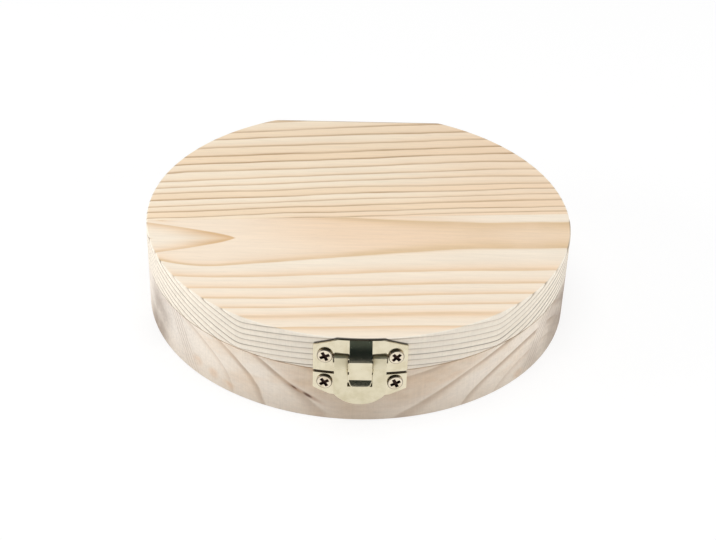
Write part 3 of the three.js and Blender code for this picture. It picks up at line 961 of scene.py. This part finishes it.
def roundPin(name, node):
    low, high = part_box(node)
    radius = (high.z - low.z) / 2
    piece = cylinderAt(name, pinLook.steps, radius, high.x - low.x, (low + high) / 2, alongX)
    editIt(piece)
    for end in (low.x, high.x):
        pick("EDGE", edgeTest(lambda place: isAt(place.x, end)))
        bevelPicked(radius * pinLook.round, pinLook.roundSteps)
    leaveEdit()
    smoothOff(piece, pinLook.smooth)
    return piece


fit(roundPin("claspPin", "clasp_pin"), "lid", "clasp_pin", screwMetal)
print("clasp ready")

# Cross-head screws, modelled once in each size with the seat of the head at height 0
claspScrewLook = SimpleNamespace(
    head=2.2 * mm, rim=0.1 * mm, dome=0.7 * mm, shank=1 * mm, length=7 * mm,
    slot=1 * mm, slotLength=3.1 * mm, slotDepth=0.6 * mm, taper=0.75, pan=0.34,
)
leafScrewLook = SimpleNamespace(
    head=1.7 * mm, rim=0.2 * mm, dome=0.7 * mm, shank=0.8 * mm, length=7 * mm,
    slot=0.7 * mm, slotLength=2.2 * mm, slotDepth=0.6 * mm, taper=0.7, pan=0.4,
)
screwMesh = SimpleNamespace(domeSteps=16, steps=48, edge=0.05 * mm, edgeAngle=45, smooth=40)
# where painted shade goes on the screws' heads
screwShadeLook = SimpleNamespace(deep=0.15 * mm, steep=0.7, reach=0.53, rimFrom=0.88, rimShade=0.7)


def crossCutter(look):
    half = look.slot / 2
    startClean()
    bpy.ops.mesh.primitive_plane_add(size=look.slot, location=(0, 0, look.dome + look.rim))
    piece = nameIt("crossCutter")
    editIt(piece)
    arm = (look.slotLength - look.slot) / 2
    for x, y in ((1, 0), (-1, 0), (0, 1), (0, -1)):
        pick("EDGE", lambda edge: all(isAt(v.co.x * x + v.co.y * y, half) for v in edge.verts)
             and all(abs(v.co.x * y + v.co.y * x) < half * 1.01 for v in edge.verts))
        extrudeBy(x * arm, y * arm, 0)
    selectAll()
    extrudeBy(0, 0, -look.slotDepth - look.rim)
    middle = (0, 0, look.dome - look.slotDepth)
    bpy.ops.transform.resize(value=(look.taper, look.taper, 1), center_override=middle)
    closeUp()
    leaveEdit()
    return piece


def crossScrew(name, look):
    path = [(0, -look.length), (look.shank, look.shank - look.length), (look.shank, 0),
            (look.head, 0)]
    for i in range(screwMesh.domeSteps + 1):
        a = math.pi / 2 * i / screwMesh.domeSteps
        across, up = math.cos(a) ** look.pan, math.sin(a) ** look.pan
        path.append((look.head * across, look.rim + (look.dome - look.rim) * up))
    piece = turnPath(name, path, screwMesh.steps)
    cutOut(piece, crossCutter(look))
    roundEdges(piece, screwMesh.edge, angle=screwMesh.edgeAngle)
    smoothOff(piece, screwMesh.smooth)
    # painted shade: 1 in the cross, less on the rim, for the shadow round the head
    shadeMark = piece.data.attributes.new("recessShade", "FLOAT", "FACE")
    for face in piece.data.polygons:
        if face.center.z < 0.01 * mm:
            continue
        away = math.hypot(face.center.x, face.center.y)
        deep = face.center.z < look.dome - screwShadeLook.deep or abs(face.normal.z) < screwShadeLook.steep
        if deep and away < look.slotLength * screwShadeLook.reach:
            shadeMark.data[face.index].value = 1.0
        elif away > look.head * screwShadeLook.rimFrom:
            shadeMark.data[face.index].value = screwShadeLook.rimShade
    return piece


claspScrew = crossScrew("claspScrew", claspScrewLook)
leafScrew = crossScrew("leafScrew", leafScrewLook)
headLift = 0.15 * mm  # under the head
crossTurns = {"lid_left": 28, "lid_right": 42, "base_left": 36, "base_right": 24}
for half in ("lid", "base"):
    for side, sign in sides.items():
        node = screwNode(half, side)
        screw = copyOf(claspScrew, f"{half}ClaspScrew{side.title()}")
        seat = Matrix.Translation((0, -plateFace - headLift, middleOf(node).z))
        cross = Matrix.Rotation(math.radians(crossTurns[f"{half}_{side}"]), 4, "Z")
        aside = Matrix.Rotation(sign * claspTurn, 4, "Z")
        moveIt(screw, aside @ seat @ Matrix.Rotation(math.pi / 2, 4, "X") @ cross)
        fit(screw, half, node, screwMetal)
        for count, place in enumerate(leafPlaces):
            node = screwNode(half, side, place)
            spot = middleOf(node)
            screw = copyOf(leafScrew, f"{side}{half.title()}LeafScrew{place.title()}")
            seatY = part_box(node)[1].y - leafScrewLook.dome
            cross = Matrix.Rotation(math.radians(20 + 33 * count + 17 * sign), 4, "Z")
            seat = Matrix.Translation((spot.x, seatY, spot.z))
            moveIt(screw, seat @ Matrix.Rotation(-math.pi / 2, 4, "X") @ cross)
            fit(screw, half, node, screwMetal)
bpy.data.objects.remove(claspScrew)
bpy.data.objects.remove(leafScrew)
print("screws ready")

# Butt hinges on the flat
leafLook = SimpleNamespace(
    sheet=0.8 * mm, seat=0.2 * mm, middleKnuckle=6 * mm, sideGap=0.35 * mm,
    corner=1.4 * mm, cornerSteps=6, edge=0.14 * mm, turn=315, rollSteps=36,
)


def hingeLeaf(side, half):
    low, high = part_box(f"{side}_hinge_{half}_leaf")
    pinLow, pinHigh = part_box(f"{side}_hinge_pin")
    pin = (pinLow + pinHigh) / 2
    up = 1 if half == "lid" else -1
    mid = (low.x + high.x) / 2
    sheetY = flatBack + leafLook.seat + leafLook.sheet / 2
    knuckle = high.y - pin.y
    clear = pin.z + up * (knuckle + leafLook.sideGap)
    free = high.z if half == "lid" else low.z
    startClean()
    bpy.ops.mesh.primitive_plane_add(size=1, rotation=alongY, location=(mid, sheetY, (clear + free) / 2))
    bpy.context.object.scale = (high.x - low.x, abs(free - clear), 1)
    piece = nameIt(f"{side}{half.title()}Leaf")
    editIt(piece)
    inner = leafLook.middleKnuckle / 2
    outer = inner + leafLook.sideGap
    edges = (-inner, inner) if half == "lid" else (-outer, outer)
    for x in edges:
        scoreAt((mid + x, 0, 0), (1, 0, 0))
    if half == "lid":
        spans = [lambda x: abs(x - mid) < inner + 0.01 * mm]
    else:
        spans = [lambda x: x - mid < -outer + 0.01 * mm, lambda x: x - mid > outer - 0.01 * mm]
    for isTongue in spans:
        pick("EDGE", edgeTest(lambda place: isAt(place.z, clear) and isTongue(place.x)))
        extrudeBy(0, 0, pin.z - clear)
        bpy.ops.mesh.spin(steps=leafLook.rollSteps, angle=-up * math.radians(leafLook.turn), center=pin,
                          axis=(1, 0, 0))
    closeUp()
    pick("VERT", lambda v: isAt(v.co.z, free) and (isAt(v.co.x, low.x) or isAt(v.co.x, high.x)))
    bevelPicked(leafLook.corner, leafLook.cornerSteps, "VERTICES")
    leaveEdit()
    useModifier(piece, "SOLIDIFY", thickness=leafLook.sheet, offset=0)
    for place in leafPlaces:
        spot = middleOf(screwNode(half, side, place))
        cutOut(piece, screwHole(holes.leafShank, holes.sheetReach, sheetY, math.pi, spot.x, spot.z))
    roundEdges(piece, leafLook.edge)
    smoothOff(piece)
    return piece


for side in sides:
    for half in ("lid", "base"):
        fit(hingeLeaf(side, half), half, f"{side}_hinge_{half}_leaf", hingeMetal)
    pin = f"{side}_hinge_pin"
    fit(roundPin(f"{side}HingePin", pin), "base", pin, screwMetal)
print("hinges ready")

# Camera, at the photograph's viewing angle
view = SimpleNamespace(elevation=34.15, distance=0.4545, yaw=1.6, roll=1.96, lens=72.2,
                       target=(0.3 * mm, 0, 6.95 * mm))
turnIn = Matrix.Rotation(math.radians(-view.yaw), 4, "Z")
tilt = Matrix.Rotation(math.radians(90 - view.elevation), 4, "X")
bank = Matrix.Rotation(math.radians(view.roll), 4, "Z")
back = tilt @ Vector((0, 0, view.distance))
scene = bpy.context.scene
camera = bpy.data.objects.new("camera", bpy.data.cameras.new("camera"))
camera.data.lens = view.lens
camera.data.sensor_width = 36
camera.data.clip_start = 0.01
camera.matrix_world = turnIn @ Matrix.Translation(Vector(view.target) + back) @ tilt @ bank
scene.collection.objects.link(camera)
scene.camera = camera


# Studio: pale floor, white surround, soft lamps on both sides and above
studio = SimpleNamespace(
    floorSize=6.0, floorBounce=(0.75, 0.75, 0.75, 1), floorSeen=(0.28, 0.28, 0.28, 1),
    floorGlow=0.75, farFrom=0.35, farTo=0.9, ambient=0.42,
    cardRadius=0.9, cardWidth=1.8, cardFrom=181, cardTo=25, cardSteps=24,
    cardLow=(0.012, 0.018, 0.018, 1), cardHigh=(0.075, 0.095, 0.09, 1),
    cardBack=(0.035, 0.032, 0.028, 1), highFrom=0.45, highTo=0.75, backFrom=-0.1, backTo=0.3,
)
lamps = {
    "leftSoft": {"place": (-0.88, -0.12, 0.22), "size": 0.5, "power": 4.4, "mirrored": True},
    "rightSoft": {"place": (0.85, -0.25, 0.22), "size": 0.5, "power": 3.0, "mirrored": True},
    "overhead": {"place": (0.0, -0.1, 0.95), "size": 0.8, "power": 3.73, "mirrored": False},
}
aim = Vector((0, 0, 0.02))
for name, lamp in lamps.items():
    light = bpy.data.lights.new(name, "AREA")
    light.energy = lamp["power"]
    light.size = lamp["size"]
    holder = bpy.data.objects.new(name, light)
    holder.location = lamp["place"]
    holder.rotation_euler = (aim - Vector(lamp["place"])).to_track_quat("-Z", "Y").to_euler()
    holder.visible_camera = False
    holder.visible_glossy = lamp["mirrored"]
    scene.collection.objects.link(holder)


def seenRays(wire):
    path = wire.node("LightPath")
    rays = {socket.name: Wire(wire.tree, socket) for socket in path.socket.node.outputs}
    seen = rays["Is Camera Ray"] + rays["Is Glossy Ray"] + rays["Is Transmission Ray"]
    return seen.do("MINIMUM", 1.0)


startClean()
bpy.ops.mesh.primitive_plane_add(size=studio.floorSize)
floor = nameIt("floor")
floorPaint, wire = newMaterial("pale floor")
seen = seenRays(wire)
away = wire.node("VectorMath", {"operation": "LENGTH"}, {0: wire.node("TexCoord", out=3)}, out=1)
far = away.over(studio.farFrom, studio.farTo)  # white past the shadow
nearPaint = mix(studio.floorSeen, (0, 0, 0, 1), far)
paint = mix(studio.floorBounce, nearPaint, seen)
matt = wire.node("BsdfDiffuse", None, {"Color": paint})
strength = seen * (far * (1 - studio.floorGlow) + studio.floorGlow)
glow = wire.node("Emission", None, {"Color": (1, 1, 1, 1), "Strength": strength})
wire.node("OutputMaterial", None, {"Surface": wire.node("AddShader", None, {0: matt, 1: glow})})
floor.data.materials.append(floorPaint)

world = bpy.data.worlds.new("white surround")
scene.world = world
world.use_nodes = True
world.node_tree.nodes.clear()
wire = Wire(world.node_tree)
seen = seenRays(wire)
strength = seen * (1 - studio.ambient) + studio.ambient
sky = wire.node("Background", None, {"Color": (1, 1, 1, 1), "Strength": strength})
wire.node("OutputWorld", None, {"Surface": sky})

# A dark card behind the camera, seen only in the metal's reflections
cardArc = arc(0, aim.z, studio.cardRadius, studio.cardFrom, studio.cardTo, studio.cardSteps)
card = drawPath("darkCard", cardArc)
selectAll()
extrudeBy(0, studio.cardWidth, 0)
leaveEdit()
moveIt(card, Matrix.Translation((studio.cardWidth / 2, 0, 0)) @ Matrix.Rotation(math.pi / 2, 4, "Z"))
cardPaint, wire = newMaterial("dark card")
y, z = axesOf(wire)[1:]
tone = mix(studio.cardLow, studio.cardHigh, z.over(studio.highFrom, studio.highTo))
tone = mix(tone, studio.cardBack, y.over(studio.backFrom, studio.backTo))
shade = wire.node("Emission", None, {"Color": tone, "Strength": 1.0})
wire.node("OutputMaterial", None, {"Surface": shade})
card.data.materials.append(cardPaint)
card.visible_camera = False
card.visible_diffuse = False
card.visible_transmission = False
card.visible_shadow = False
print("studio ready")

scene.view_settings.view_transform = "Standard"
